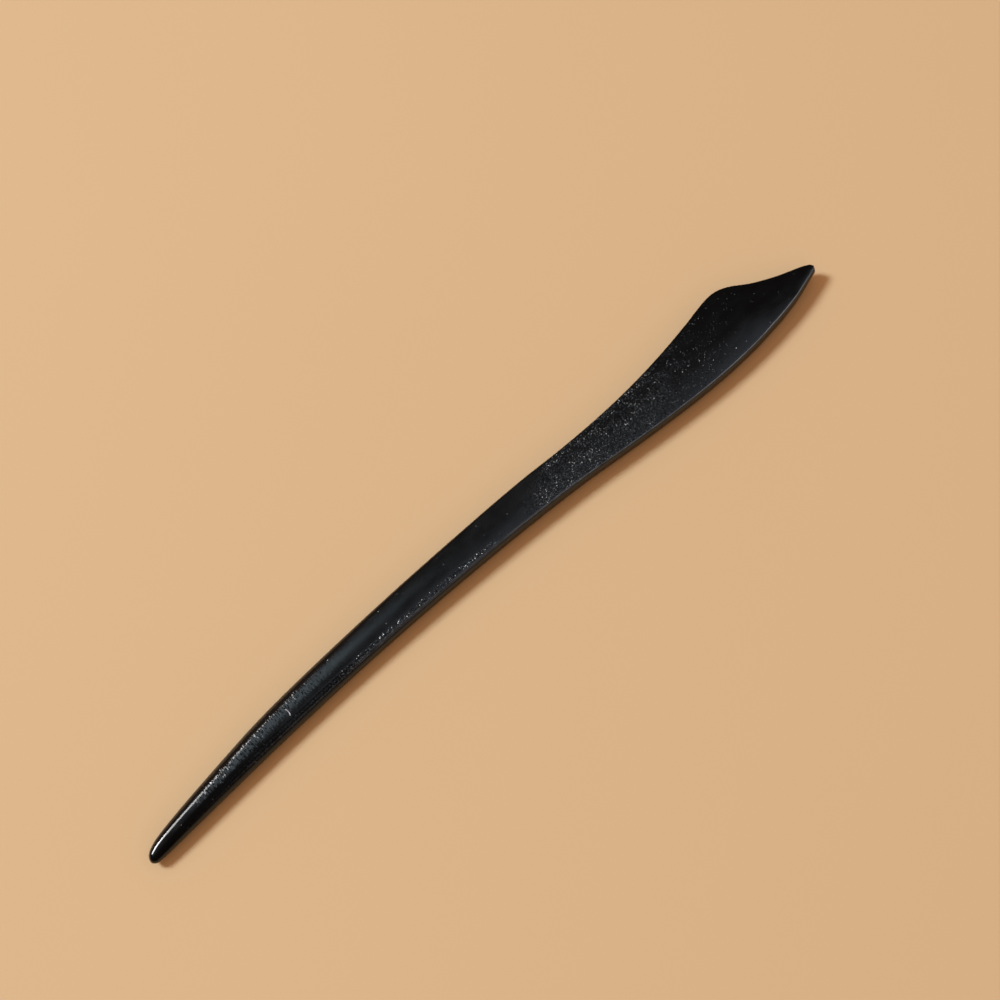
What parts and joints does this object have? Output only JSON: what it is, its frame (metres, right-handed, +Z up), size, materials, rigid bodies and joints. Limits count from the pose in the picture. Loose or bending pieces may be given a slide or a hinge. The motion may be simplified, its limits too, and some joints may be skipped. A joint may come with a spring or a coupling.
{
  "type": "hair stick",
  "caption": "Carved black hair stick: a flat, lopsided leaf-shaped head, a slim neck, a softly rounded shank and a round tapering pin with a blunt tip.",
  "frame": {"origin": "on the surface that the stick lies on, under the middle of its box", "axes": "+X along the stick from the pin to the head's point, +Y towards the side of the head's shoulder, +Z up, square to the flat faces"},
  "size_m": [0.18, 0.0152, 0.0045],
  "materials": {
    "black_lacquered_wood": "thin satin black lacquer rubbed over open-grained wood"
  },
  "bodies": {
    "root": {"hair_stick": "black_lacquered_wood"}
  },
  "joints": []
}
